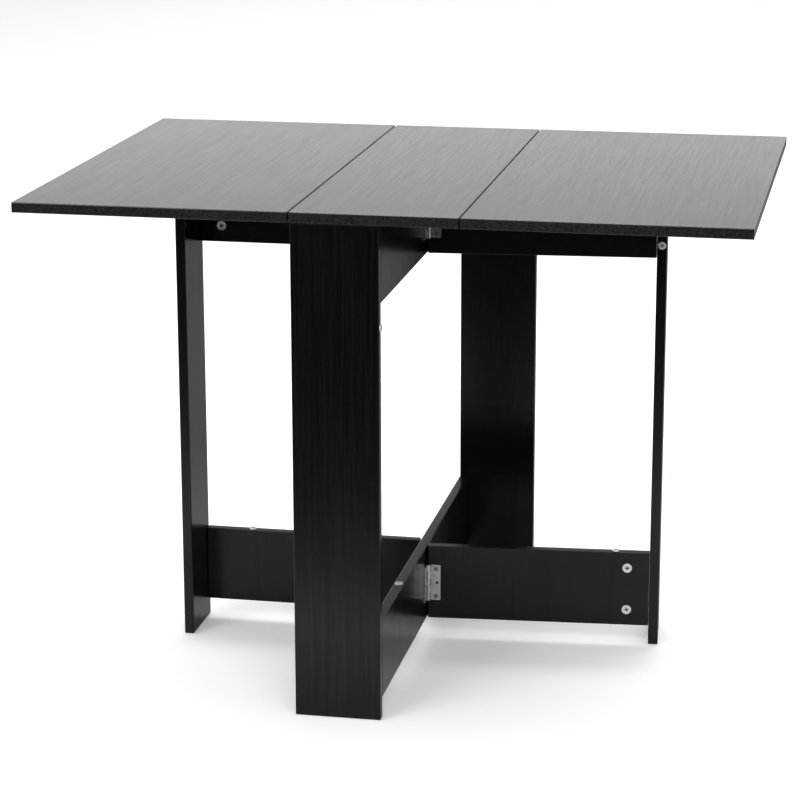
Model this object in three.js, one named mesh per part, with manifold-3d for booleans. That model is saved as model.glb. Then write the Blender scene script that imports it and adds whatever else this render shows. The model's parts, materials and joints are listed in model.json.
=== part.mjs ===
// Gateleg table: a narrow fixed frame under a centre panel, two drop leaves, and two gates that swing
// out from the frame to carry the leaves.
//
// Millimetres, +Z up. The origin is on the floor under the middle of the top. X runs along the table,
// Y across it. The whole design repeats under a half turn about Z, so each gate is built once in its
// own frame and placed twice.

import * as THREE from 'three';
import { mergeVertices } from 'three/addons/utils/BufferGeometryUtils.js';
import Module from 'manifold-3d';

const wasm = await Module();
wasm.setup();

// ---------------------------------------------------------------- driving dimensions

const TABLE_HEIGHT = 734;
const TOP_DEPTH = 760;
const CENTRE_PANEL_LENGTH = 236;
const LEAF_LENGTH = 395;
const SEAM_GAP = 2;

const BOARD = 15;
const ARRIS = 0.8;
const FIT_GAP = 0.3;

const SLAB_INSET = 2;
const LEAF_HANG_CLEARANCE = 1;
const UPPER_RAIL_HEIGHT = 111.5;
const LOWER_RAIL_HEIGHT = 117;
const LOWER_RAIL_LIFT = 30;

const GATE_OFFSET = 20;
const GATE_LEG_WIDTH = 100;
const GATE_SWEEP_CLEARANCE = 0.7;
const GATE_OVER_SWING = THREE.MathUtils.degToRad(4.5);
const RIGHT_GATE_REST = THREE.MathUtils.degToRad(4.5);
const LEFT_GATE_REST = 0;

const HINGE_LENGTH = 57;
const HINGE_LEAF_WIDTH = 18.5;
const HINGE_LEAF_THICKNESS = 1.2;
const HINGE_KNUCKLES = 5;
const KNUCKLE_RADIUS = 3;
const KNUCKLE_GAP = 0.5;
const PIN_RADIUS = 1.4;
const PIN_CLEARANCE = 0.2;
const SCREW_HOLE_RADIUS = 2.2;
const SCREW_SPACING = 22;
const SCREW_INSET = 7;
const SCREW_STAGGER = 1.8;
const LEAF_HINGE_TO_END = 130;

const CAM_RADIUS = 7.2;
const CAM_DEPTH = 12;
const CAM_TO_END = 34;
const CAM_TO_EDGE = 25;

const STUD_HEAD_RADIUS = 6;
const STUD_HEAD_HEIGHT = 2.2;
const STUD_HEAD_RIM = 0.9;
const STUD_CROWN_RADIUS = 3.7;
const STUD_SHANK_RADIUS = 2;
const STUD_SHANK_LENGTH = 24;
const MAIN_RAIL_STUD_TO_SLAB = 158;
const RIGHT_RAIL_STUD_TO_LEG = 52;
const LEFT_RAIL_STUD_TO_LEG = 74;
const SLAB_STUD_BELOW_TOP = 144;
const GATE_LEG_STUD_BELOW_TOP = 92;

// ---------------------------------------------------------------- places that follow from them

const UNDERSIDE = TABLE_HEIGHT - BOARD;
const SEAM_X = CENTRE_PANEL_LENGTH / 2 + SEAM_GAP / 2;
const LEAF_INNER_X = CENTRE_PANEL_LENGTH / 2 + SEAM_GAP;
const FRAME_TOP = UNDERSIDE - FIT_GAP;

const RAIL_HALF = BOARD / 2;
// A slab runs from the main rail's face to just inside the seam, so that a dropped leaf hangs past it.
const SLAB_WIDTH = RAIL_HALF + CENTRE_PANEL_LENGTH / 2 - LEAF_HANG_CLEARANCE;
const SLAB_FACE_Y = TOP_DEPTH / 2 - SLAB_INSET;
const SLAB_INNER_Y = SLAB_FACE_Y - BOARD;
const MAIN_RAIL_END = SLAB_INNER_Y - FIT_GAP;
const UPPER_RAIL_BOTTOM = UNDERSIDE - UPPER_RAIL_HEIGHT;
const LOWER_RAIL_TOP = LOWER_RAIL_LIFT + LOWER_RAIL_HEIGHT;

// A hinge lies on its boards with the pin this far from both of them.
const PIN_OFFSET = KNUCKLE_RADIUS + FIT_GAP;
const BORE_RADIUS = PIN_RADIUS + PIN_CLEARANCE;
// A cutter starts this far outside the board it drills.
const DRILL_LEAD = 1;

const GATE_PIN_X = RAIL_HALF + PIN_OFFSET;
const GATE_PIN_Y = GATE_OFFSET + PIN_OFFSET;
// The folded gate leg ends flush with the outer face of the slab beside it.
const GATE_REACH = SLAB_FACE_Y - GATE_PIN_Y;
const GATE_LEG_INNER = GATE_REACH - BOARD;
// At full over-swing the back corner of each gate rail comes to rest against the main rail.
const GATE_RAIL_START = (BOARD + PIN_OFFSET) * Math.tan(GATE_OVER_SWING) + FIT_GAP - PIN_OFFSET;
const GATE_RAIL_END = GATE_LEG_INNER - FIT_GAP;
// The gate's upper rail passes under the leaf hinges.
const GATE_RAIL_TOP = UNDERSIDE - FIT_GAP - 2 * KNUCKLE_RADIUS - GATE_SWEEP_CLEARANCE;

const LOWER_HINGE_Z = LOWER_RAIL_LIFT + LOWER_RAIL_HEIGHT / 2;
const UPPER_HINGE_Z = (UPPER_RAIL_BOTTOM + GATE_RAIL_TOP) / 2;

const X = new THREE.Vector3(1, 0, 0);
const Y = new THREE.Vector3(0, 1, 0);
const Z = new THREE.Vector3(0, 0, 1);
const minus = (direction) => direction.clone().negate();

// ---------------------------------------------------------------- finishes

const laminate = () => new THREE.MeshStandardMaterial({ color: 0x232427, roughness: 0.42, metalness: 0 });
const topLaminate = () => new THREE.MeshStandardMaterial({ color: 0x2b2d31, roughness: 0.3, metalness: 0 });
const hingeSteel = () => new THREE.MeshStandardMaterial({ color: 0xc4c2bd, roughness: 0.32, metalness: 1 });
const camZinc = () => new THREE.MeshStandardMaterial({ color: 0xb9bab9, roughness: 0.45, metalness: 1 });

// ---------------------------------------------------------------- solids

function toSolid(geometry) {
  const bare = geometry.clone();
  bare.deleteAttribute('normal');
  bare.deleteAttribute('uv');
  const welded = mergeVertices(bare, 1e-4);
  return new wasm.Manifold(new wasm.Mesh({
    numProp: 3,
    vertProperties: Float32Array.from(welded.attributes.position.array),
    triVerts: Uint32Array.from(welded.index.array),
  }));
}

function toGeometry(solid) {
  const { vertProperties, triVerts } = solid.getMesh();
  const geometry = new THREE.BufferGeometry();
  geometry.setAttribute('position', new THREE.BufferAttribute(vertProperties, 3));
  geometry.setIndex(new THREE.BufferAttribute(triVerts, 1));
  geometry.computeVertexNormals();
  return geometry;
}

// A board between two opposite corners, with its arrises eased all round.
function boardGeometry(low, high) {
  const [width, depth, height] = high.map((value, index) => value - low[index]);
  const outline = new THREE.Shape();
  outline.moveTo(ARRIS, 0);
  outline.lineTo(width - ARRIS, 0);
  outline.lineTo(width, ARRIS);
  outline.lineTo(width, depth - ARRIS);
  outline.lineTo(width - ARRIS, depth);
  outline.lineTo(ARRIS, depth);
  outline.lineTo(0, depth - ARRIS);
  outline.lineTo(0, ARRIS);
  outline.closePath();
  const geometry = new THREE.ExtrudeGeometry(outline, {
    depth: height - 2 * ARRIS,
    bevelEnabled: true,
    bevelThickness: ARRIS,
    bevelSize: ARRIS,
    bevelOffset: -ARRIS,
    bevelSegments: 1,
  });
  geometry.translate(low[0], low[1], low[2] + ARRIS);
  return geometry;
}

// A round bar from a point along a direction.
function barGeometry(start, direction, radius, length, sides) {
  const geometry = new THREE.CylinderGeometry(radius, radius, length, sides);
  geometry.applyQuaternion(new THREE.Quaternion().setFromUnitVectors(Y, direction));
  const middle = start.clone().addScaledVector(direction, length / 2);
  geometry.translate(middle.x, middle.y, middle.z);
  return geometry;
}

// ---------------------------------------------------------------- fasteners

const CAM_SIDES = 16;
const STUD_SIDES = 14;

// A fastener is given by its name, the point where it enters a board's face and the direction into the
// board.
function camBore({ point, inward }) {
  const start = point.clone().addScaledVector(inward, -DRILL_LEAD);
  const length = CAM_DEPTH + FIT_GAP + DRILL_LEAD;
  return barGeometry(start, inward, CAM_RADIUS + FIT_GAP, length, CAM_SIDES);
}

function camLock({ name, point, inward }) {
  const housing = barGeometry(new THREE.Vector3(), Y, CAM_RADIUS, CAM_DEPTH, CAM_SIDES);
  const lock = new THREE.Mesh(housing, camZinc());
  lock.name = name;
  lock.position.copy(point);
  lock.quaternion.setFromUnitVectors(Y, inward);
  return lock;
}

function studBore({ point, inward }) {
  const start = point.clone().addScaledVector(inward, -DRILL_LEAD);
  const length = STUD_SHANK_LENGTH + FIT_GAP + DRILL_LEAD;
  return barGeometry(start, inward, STUD_SHANK_RADIUS + FIT_GAP, length, STUD_SIDES);
}

// A pan-head screw: its head stands on the edge and its shank goes down into the board.
function studScrew({ name, point, inward }) {
  const headBase = -FIT_GAP;
  const headTop = headBase - STUD_HEAD_HEIGHT;
  const profile = [
    new THREE.Vector2(0, STUD_SHANK_LENGTH),
    new THREE.Vector2(STUD_SHANK_RADIUS, STUD_SHANK_LENGTH - STUD_SHANK_RADIUS),
    new THREE.Vector2(STUD_SHANK_RADIUS, headBase),
    new THREE.Vector2(STUD_HEAD_RADIUS, headBase),
    new THREE.Vector2(STUD_HEAD_RADIUS, headBase - STUD_HEAD_RIM),
    new THREE.Vector2(STUD_CROWN_RADIUS, headTop),
    new THREE.Vector2(0, headTop),
  ];
  const screw = new THREE.Mesh(new THREE.LatheGeometry(profile.reverse(), STUD_SIDES), camZinc());
  screw.name = name;
  screw.position.copy(point);
  screw.quaternion.setFromUnitVectors(Y, inward);
  return screw;
}

function board(name, low, high, material, bores = []) {
  let solid = toSolid(boardGeometry(low, high));
  for (const bore of bores) {
    solid = solid.subtract(toSolid(bore));
  }
  const mesh = new THREE.Mesh(toGeometry(solid), material);
  mesh.name = name;
  return mesh;
}

// ---------------------------------------------------------------- butt hinges

const HINGE_SIDES = 12;
const KNUCKLE_PITCH = (HINGE_LENGTH + KNUCKLE_GAP) / HINGE_KNUCKLES;
const knuckleStart = (index) => -HINGE_LENGTH / 2 + index * KNUCKLE_PITCH;

// One leaf of a hinge, with the pin along Z, the plate reaching out along X and its outer face at
// +KNUCKLE_RADIUS on Y. Even leaves own the first knuckle and every second one after it.
function hingeLeafGeometry(even) {
  const plate = new THREE.BoxGeometry(HINGE_LEAF_WIDTH, HINGE_LEAF_THICKNESS, HINGE_LENGTH);
  plate.translate(HINGE_LEAF_WIDTH / 2, KNUCKLE_RADIUS - HINGE_LEAF_THICKNESS / 2, 0);
  let solid = toSolid(plate);
  const notchReach = KNUCKLE_RADIUS + KNUCKLE_GAP;
  const knuckleLength = KNUCKLE_PITCH - KNUCKLE_GAP;
  for (let index = 0; index < HINGE_KNUCKLES; index += 1) {
    const low = knuckleStart(index);
    if ((index % 2 === 0) === even) {
      const base = new THREE.Vector3(0, 0, low);
      solid = solid.add(toSolid(barGeometry(base, Z, KNUCKLE_RADIUS, knuckleLength, HINGE_SIDES)));
    } else {
      const notchLength = knuckleLength + 2 * KNUCKLE_GAP;
      const notch = new THREE.BoxGeometry(2 * notchReach, 2 * notchReach, notchLength);
      notch.translate(0, 0, low + knuckleLength / 2);
      solid = solid.subtract(toSolid(notch));
    }
  }
  const through = new THREE.Vector3(0, 0, -HINGE_LENGTH);
  solid = solid.subtract(toSolid(barGeometry(through, Z, BORE_RADIUS, 2 * HINGE_LENGTH, HINGE_SIDES)));
  for (const step of [-1, 0, 1]) {
    const across = HINGE_LEAF_WIDTH - SCREW_INSET + (step === 0 ? SCREW_STAGGER : 0);
    const hole = new THREE.Vector3(across, 0, step * SCREW_SPACING);
    const drill = barGeometry(hole, Y, SCREW_HOLE_RADIUS, 2 * KNUCKLE_RADIUS, HINGE_SIDES);
    solid = solid.subtract(toSolid(drill));
  }
  return toGeometry(solid);
}

const HINGE_LEAF = { even: hingeLeafGeometry(true), odd: hingeLeafGeometry(false) };

// Places one hinge leaf: the plate reaches out along `reach` and lies with its face towards `face`.
function hingeLeaf(name, kind, pin, reach, face) {
  const leaf = new THREE.Mesh(HINGE_LEAF[kind], hingeSteel());
  const basis = new THREE.Matrix4().makeBasis(reach, face, reach.clone().cross(face));
  leaf.name = name;
  leaf.setRotationFromMatrix(basis);
  leaf.position.copy(pin);
  return leaf;
}

function hingePin(name, pin, along) {
  const start = new THREE.Vector3(0, -HINGE_LENGTH / 2, 0);
  const rod = new THREE.Mesh(barGeometry(start, Y, PIN_RADIUS, HINGE_LENGTH, HINGE_SIDES), hingeSteel());
  rod.name = name;
  rod.quaternion.setFromUnitVectors(Y, along);
  rod.position.copy(pin);
  return rod;
}

// ---------------------------------------------------------------- table top

function buildTop() {
  const top = new THREE.Group();
  const halfDepth = TOP_DEPTH / 2;
  const halfCentre = CENTRE_PANEL_LENGTH / 2;
  const leafHingeY = halfDepth - LEAF_HINGE_TO_END;
  const centreLow = [-halfCentre, -halfDepth, UNDERSIDE];
  top.add(board('centre_panel', centreLow, [halfCentre, halfDepth, TABLE_HEIGHT], topLaminate()));

  for (const [side, sign] of [['right', 1], ['left', -1]]) {
    const ends = [sign * LEAF_INNER_X, sign * (LEAF_INNER_X + LEAF_LENGTH)].sort((a, b) => a - b);
    const low = [ends[0], -halfDepth, UNDERSIDE];
    top.add(board(`${side}_drop_leaf`, low, [ends[1], halfDepth, TABLE_HEIGHT], topLaminate()));

    const outward = X.clone().multiplyScalar(sign);
    for (const [place, y] of [['front', -leafHingeY], ['rear', leafHingeY]]) {
      const pin = new THREE.Vector3(sign * SEAM_X, y, UNDERSIDE - PIN_OFFSET);
      const label = `${side}_${place}_leaf_hinge`;
      top.add(hingeLeaf(`${label}_fixed_plate`, 'even', pin, minus(outward), Z));
      top.add(hingeLeaf(`${label}_moving_plate`, 'odd', pin, outward, Z));
      top.add(hingePin(`${label}_pin`, pin, Y));
    }
  }
  return top;
}

// ---------------------------------------------------------------- fixed frame

// The frame's two slabs stand at the ends of the two main rails. `sign` is -1 at the front, +1 at the rear.
function buildSlab(name, sign) {
  const faceY = sign * SLAB_FACE_Y;
  const innerY = sign * SLAB_INNER_Y;
  const flushX = -sign * RAIL_HALF;
  const farX = flushX + sign * SLAB_WIDTH;
  const low = [Math.min(flushX, farX), Math.min(faceY, innerY), 0];
  const high = [Math.max(flushX, farX), Math.max(faceY, innerY), FRAME_TOP];
  const stud = {
    name: `${name}_edge_screw`,
    point: new THREE.Vector3(flushX, (faceY + innerY) / 2, UNDERSIDE - SLAB_STUD_BELOW_TOP),
    inward: X.clone().multiplyScalar(sign),
  };
  const slab = new THREE.Group();
  slab.add(board(name, low, high, laminate(), [studBore(stud)]));
  slab.add(studScrew(stud));
  return slab;
}

function buildMainRail(name, bottom, top, edgeStud) {
  const cams = [];
  for (const [end, sign] of [['front', -1], ['rear', 1]]) {
    for (const [row, z] of [['lower', bottom + CAM_TO_EDGE], ['upper', top - CAM_TO_EDGE]]) {
      const point = new THREE.Vector3(-RAIL_HALF, sign * (SLAB_INNER_Y - CAM_TO_END), z);
      cams.push({ name: `${name}_${end}_${row}_cam_lock`, point, inward: X });
    }
  }
  const rail = new THREE.Group();
  const bores = cams.map(camBore);
  if (edgeStud) {
    const point = new THREE.Vector3(0, MAIN_RAIL_STUD_TO_SLAB - SLAB_INNER_Y, top);
    const stud = { name: `${name}_edge_screw`, point, inward: minus(Z) };
    bores.push(studBore(stud));
    rail.add(studScrew(stud));
  }
  const low = [-RAIL_HALF, -MAIN_RAIL_END, bottom];
  rail.add(board(name, low, [RAIL_HALF, MAIN_RAIL_END, top], laminate(), bores));
  rail.add(...cams.map(camLock));
  return rail;
}

// ---------------------------------------------------------------- gates

// One gate in its own frame: the hinge pin stands on Z, the gate reaches out along X and its leg runs
// back along Y. The rails' front faces and the leg's front edge share one plane.
function buildGate(side, studToLeg) {
  const gate = new THREE.Group();
  const front = PIN_OFFSET;
  const back = front + BOARD;
  const rails = [
    { row: 'upper', bottom: UPPER_RAIL_BOTTOM, top: GATE_RAIL_TOP, camFace: back, inward: minus(Y) },
    { row: 'lower', bottom: LOWER_RAIL_LIFT, top: LOWER_RAIL_TOP, camFace: front, inward: Y },
  ];

  for (const { row, bottom, top, camFace, inward } of rails) {
    const name = `${side}_gate_${row}_rail`;
    const cams = [];
    for (const [place, z] of [['lower', bottom + CAM_TO_EDGE], ['upper', top - CAM_TO_EDGE]]) {
      const point = new THREE.Vector3(GATE_LEG_INNER - CAM_TO_END, camFace, z);
      cams.push({ name: `${name}_${place}_cam_lock`, point, inward });
    }
    const bores = cams.map(camBore);
    if (row === 'lower') {
      const point = new THREE.Vector3(GATE_LEG_INNER - studToLeg, (front + back) / 2, top);
      const stud = { name: `${name}_edge_screw`, point, inward: minus(Z) };
      bores.push(studBore(stud));
      gate.add(studScrew(stud));
    }
    const low = [GATE_RAIL_START, front, bottom];
    gate.add(board(name, low, [GATE_RAIL_END, back, top], laminate(), bores));
    gate.add(...cams.map(camLock));
  }

  const legStud = {
    name: `${side}_gate_leg_edge_screw`,
    point: new THREE.Vector3(GATE_LEG_INNER + BOARD / 2, front, UNDERSIDE - GATE_LEG_STUD_BELOW_TOP),
    inward: Y,
  };
  const legLow = [GATE_LEG_INNER, front, 0];
  const legHigh = [GATE_REACH, front + GATE_LEG_WIDTH, FRAME_TOP];
  gate.add(board(`${side}_gate_leg`, legLow, legHigh, laminate(), [studBore(legStud)]));
  gate.add(studScrew(legStud));

  for (const [row, z] of [['upper', UPPER_HINGE_Z], ['lower', LOWER_HINGE_Z]]) {
    const pin = new THREE.Vector3(0, 0, z);
    gate.add(hingeLeaf(`${side}_gate_${row}_hinge_moving_plate`, 'odd', pin, X, Y));
  }
  return gate;
}

// The half of each gate hinge that stays on the main rail, and its pin.
function buildGateHingeSeats(side) {
  const seats = new THREE.Group();
  for (const [row, z] of [['upper', UPPER_HINGE_Z], ['lower', LOWER_HINGE_Z]]) {
    const pin = new THREE.Vector3(GATE_PIN_X, -GATE_PIN_Y, z);
    const label = `${side}_gate_${row}_hinge`;
    seats.add(hingeLeaf(`${label}_fixed_plate`, 'even', pin, minus(Y), minus(X)));
    seats.add(hingePin(`${label}_pin`, pin, Z));
  }
  return seats;
}

// ---------------------------------------------------------------- the table

const table = new THREE.Group();
table.add(buildTop());
table.add(buildSlab('front_slab', -1));
table.add(buildSlab('rear_slab', 1));
table.add(buildMainRail('main_upper_rail', UPPER_RAIL_BOTTOM, FRAME_TOP, false));
table.add(buildMainRail('main_lower_rail', LOWER_RAIL_LIFT, LOWER_RAIL_TOP, true));

const gates = [
  { side: 'right', halfTurn: 0, rest: RIGHT_GATE_REST, studToLeg: RIGHT_RAIL_STUD_TO_LEG },
  { side: 'left', halfTurn: Math.PI, rest: LEFT_GATE_REST, studToLeg: LEFT_RAIL_STUD_TO_LEG },
];
for (const { side, halfTurn, rest, studToLeg } of gates) {
  const place = new THREE.Group();
  place.rotation.z = halfTurn;
  place.add(buildGateHingeSeats(side));
  const gate = buildGate(side, studToLeg);
  gate.position.set(GATE_PIN_X, -GATE_PIN_Y, 0);
  gate.rotation.z = rest;
  place.add(gate);
  table.add(place);
}

export default table;
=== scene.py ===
"""A gateleg table of black wood-grain boards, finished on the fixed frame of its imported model.

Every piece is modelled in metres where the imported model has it, and takes the place of its plain
solid: boards with rounded arrises and drilled bores, rolled knuckle hinges with their screws, cam
locks and cross-slotted edge screws.
"""
from __future__ import annotations

import json
import logging
import math
from collections.abc import Callable, Iterator
from contextlib import contextmanager
from dataclasses import dataclass, field
from enum import Enum
from typing import Any

import bmesh
import bpy
from mathutils import Matrix, Vector


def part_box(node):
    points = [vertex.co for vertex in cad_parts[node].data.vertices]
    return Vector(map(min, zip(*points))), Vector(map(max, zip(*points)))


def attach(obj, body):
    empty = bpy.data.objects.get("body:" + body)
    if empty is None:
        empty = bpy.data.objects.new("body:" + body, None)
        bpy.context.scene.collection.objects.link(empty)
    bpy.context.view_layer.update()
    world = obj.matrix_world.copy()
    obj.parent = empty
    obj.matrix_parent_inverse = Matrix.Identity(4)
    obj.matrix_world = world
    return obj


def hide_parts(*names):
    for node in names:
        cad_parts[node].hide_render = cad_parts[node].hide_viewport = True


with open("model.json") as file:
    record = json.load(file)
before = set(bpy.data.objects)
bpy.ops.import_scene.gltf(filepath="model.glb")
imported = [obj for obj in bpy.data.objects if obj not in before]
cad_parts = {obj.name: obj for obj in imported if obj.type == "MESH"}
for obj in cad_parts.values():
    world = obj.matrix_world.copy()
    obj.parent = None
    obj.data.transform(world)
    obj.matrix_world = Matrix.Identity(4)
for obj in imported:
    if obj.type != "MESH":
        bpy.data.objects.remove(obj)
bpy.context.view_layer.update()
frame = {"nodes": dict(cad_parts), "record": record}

MM = 0.001
UP = Vector((0.0, 0.0, 1.0))
# Each side's name and the way along X that it lies.
SIDES = (("right", 1.0), ("left", -1.0))
# A face looks a way when this much of its normal lies along it.
FACING = 0.5
# Edges sharper than the first angle are rounded, and faces that meet below the second shade smooth.
ROUNDED_ABOVE = math.radians(35)
SMOOTH_BELOW = math.radians(42)
FLAT_WEIGHT = 100

Colour = tuple[float, float, float, float]
Pair = tuple[float, float]
FaceTest = Callable[[Vector, Vector], bool]
log = logging.getLogger("gateleg_table")

BODY_OF = {
    node: body
    for body, nodes in frame["record"]["behaviour"]["bodies"].items()
    for node in nodes
}


# ------------------------------------------------------------------ named choices


class Grain(Enum):
    """The way that the printed wood grain runs on a board."""

    ALONG_X = 0
    ALONG_Y = 1
    ALONG_Z = 2


class Leaf(Enum):
    """The two leaves of a knuckle hinge, by the knuckles that each one rolls."""

    FIXED = (0, 2, 4)
    MOVING = (1, 3)


class BoardSlot(Enum):
    """The order of a board's materials."""

    FACE = 0
    BAND = 1
    # The rounded arrises, which carry a painted highlight.
    ARRIS = 2
    CORE = 3


# ------------------------------------------------------------------ finishes


def alike(cells: float) -> Vector:
    """Give the same number of pattern cells per metre along every axis."""
    return Vector((cells, cells, cells))


def tenths(angle: float) -> int:
    """Round an angle in radians to tenths of a degree."""
    return round(math.degrees(angle) * 10)


class NodeTree:
    """Shader nodes that are laid out one after another."""

    def __init__(self, owner: bpy.types.Material | bpy.types.World) -> None:
        """Start with an empty tree.

        Args:
            owner: The material or the surroundings that the nodes belong to.
        """
        owner.use_nodes = True
        self.tree = owner.node_tree
        self.tree.nodes.clear()

    def add(self, kind: str, inputs: dict[Any, Any] | None = None, **settings: Any) -> bpy.types.Node:
        """Add a node.

        Args:
            kind: The node's type.
            inputs: A value or another node's output for each named input.
            settings: The node's own settings.

        Returns:
            The new node.
        """
        node = self.tree.nodes.new(kind)
        for key, value in settings.items():
            setattr(node, key, value)
        for key, value in (inputs or {}).items():
            self.feed(node, key, value)
        return node

    def feed(self, node: bpy.types.Node, key: Any, value: Any) -> None:
        """Give an input its value or its link.

        Args:
            node: The node that is fed.
            key: The input's name or number.
            value: A plain value, or the output that drives the input.
        """
        if isinstance(value, bpy.types.NodeSocket):
            self.tree.links.new(value, node.inputs[key])
        else:
            node.inputs[key].default_value = value

    def place(self, turn: float, stretch: Vector) -> bpy.types.NodeSocket:
        """Give the object's own coordinates, turned back square and then stretched.

        Args:
            turn: How far the piece is turned about the upright axis, in radians.
            stretch: Pattern cells per metre along each axis.

        Returns:
            The coordinates that a pattern is drawn on.
        """
        own = self.add("ShaderNodeTexCoord").outputs["Object"]
        square = self.add("ShaderNodeMapping", {"Vector": own, "Rotation": (0.0, 0.0, -turn)})
        scaled = self.add("ShaderNodeMapping", {"Vector": square.outputs[0], "Scale": stretch})
        return scaled.outputs[0]

    def noise(self, where: bpy.types.NodeSocket, octaves: Pair) -> bpy.types.NodeSocket:
        """Draw a noise pattern."""
        inputs = {"Vector": where, "Scale": 1.0, "Detail": octaves[0], "Roughness": octaves[1]}
        return self.add("ShaderNodeTexNoise", inputs).outputs[0]

    def spread(self, value: bpy.types.NodeSocket, reach: Pair, onto: Pair,
               interpolation: str = "LINEAR") -> bpy.types.NodeSocket:
        """Stretch a range of a pattern onto another range, held at both ends.

        Args:
            value: The pattern.
            reach: The range of it that is used.
            onto: The range that it gives.
            interpolation: How it runs from one end to the other.

        Returns:
            The stretched pattern.
        """
        inputs = {"Value": value, "From Min": reach[0], "From Max": reach[1],
                  "To Min": onto[0], "To Max": onto[1]}
        return self.add("ShaderNodeMapRange", inputs, interpolation_type=interpolation).outputs[0]

    def sum(self, first: bpy.types.NodeSocket, second: bpy.types.NodeSocket,
            share: float) -> bpy.types.NodeSocket:
        """Add a share of one pattern to another."""
        node = self.add("ShaderNodeMath", {0: second, 1: share, 2: first}, operation="MULTIPLY_ADD")
        return node.outputs[0]

    def tint(self, value: bpy.types.NodeSocket, stops: list[tuple[float, Colour]]) -> bpy.types.NodeSocket:
        """Turn a pattern into colour.

        Args:
            value: The pattern.
            stops: Each place on the pattern and its colour.

        Returns:
            The colour.
        """
        ramp = self.add("ShaderNodeValToRGB", {"Fac": value})
        elements = ramp.color_ramp.elements
        while len(elements) < len(stops):
            elements.new(0.5)
        for element, (position, colour) in zip(elements, stops):
            element.position = position
            element.color = colour
        return ramp.outputs["Color"]


class NodeSheet(NodeTree):
    """A material whose nodes stand in front of one shader."""

    def __init__(self, name: str) -> None:
        """Start an empty sheet with a shader on it.

        Args:
            name: What the material is called.
        """
        self.material = bpy.data.materials.new(name)
        super().__init__(self.material)
        self.shader = self.add("ShaderNodeBsdfPrincipled")
        output = self.add("ShaderNodeOutputMaterial")
        self.tree.links.new(self.shader.outputs["BSDF"], output.inputs["Surface"])

    def relief(self, height: bpy.types.NodeSocket, depth: float, strength: float) -> None:
        """Press a pattern into the surface."""
        inputs = {"Height": height, "Distance": depth, "Strength": strength}
        self.feed(self.shader, "Normal", self.add("ShaderNodeBump", inputs).outputs[0])

    def dress(self, **inputs: Any) -> bpy.types.Material:
        """Set the shader's inputs, with spaces in their names written as underscores.

        Args:
            inputs: A value or an output for each input.

        Returns:
            The finished material.
        """
        for key, value in inputs.items():
            self.feed(self.shader, key.replace("_", " "), value)
        return self.material


@dataclass(frozen=True)
class WoodGrainFoil:
    """Printed wood-grain foil pressed on a board's broad faces."""

    label: str
    dark: Colour
    light: Colour
    gloss: Pair
    ior: float
    relief_depth: float = 0.05 * MM
    relief_strength: float = 0.035
    bands_per_metre: Pair = (26.0, 1.4)
    streaks_per_metre: Pair = (330.0, 7.0)
    pores_per_metre: Pair = (1500.0, 70.0)
    band_octaves: Pair = (3.0, 0.5)
    streak_octaves: Pair = (6.0, 0.62)
    pore_octaves: Pair = (2.0, 0.5)
    streak_range: Pair = (0.3, 0.7)
    open_pore_range: Pair = (0.56, 0.68)
    streak_share: float = 0.7
    band_share: float = 0.3
    pore_shade: float = -0.35
    pore_sink: float = -0.8
    tint_range: Pair = (0.25, 0.80)
    gloss_range: Pair = (0.1, 0.9)

    def _stretch(self, grain: Grain, cells: Pair) -> Vector:
        """Stretch a pattern along the grain.

        Args:
            grain: The way that the grain runs.
            cells: Pattern cells per metre across the grain and along it.

        Returns:
            Pattern cells per metre on each axis.
        """
        stretch = alike(cells[0])
        stretch[grain.value] = cells[1]
        return stretch

    def material(self, grain: Grain, turn: float) -> bpy.types.Material:
        """Make the foil for one direction of the grain.

        Args:
            grain: The way that the grain runs.
            turn: How far the board is turned about the upright axis, in radians.

        Returns:
            The material.
        """
        sheet = NodeSheet(f"{self.label}_{grain.name.lower()}_{tenths(turn)}")
        bands, streaks, pores = (
            sheet.noise(sheet.place(turn, self._stretch(grain, cells)), octaves)
            for cells, octaves in (
                (self.bands_per_metre, self.band_octaves),
                (self.streaks_per_metre, self.streak_octaves),
                (self.pores_per_metre, self.pore_octaves),
            )
        )
        open_pores = sheet.spread(pores, self.open_pore_range, (0.0, 1.0))
        drawn = sheet.spread(streaks, self.streak_range, (0.0, self.streak_share))
        figure = sheet.sum(drawn, bands, self.band_share)
        tone = sheet.sum(figure, open_pores, self.pore_shade)
        colour = sheet.tint(tone, list(zip(self.tint_range, (self.dark, self.light))))
        dullness = sheet.spread(tone, self.gloss_range, (self.gloss[1], self.gloss[0]))
        surface = sheet.sum(figure, open_pores, self.pore_sink)
        sheet.relief(surface, self.relief_depth, self.relief_strength)
        return sheet.dress(Base_Color=colour, Roughness=dullness, IOR=self.ior)


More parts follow.
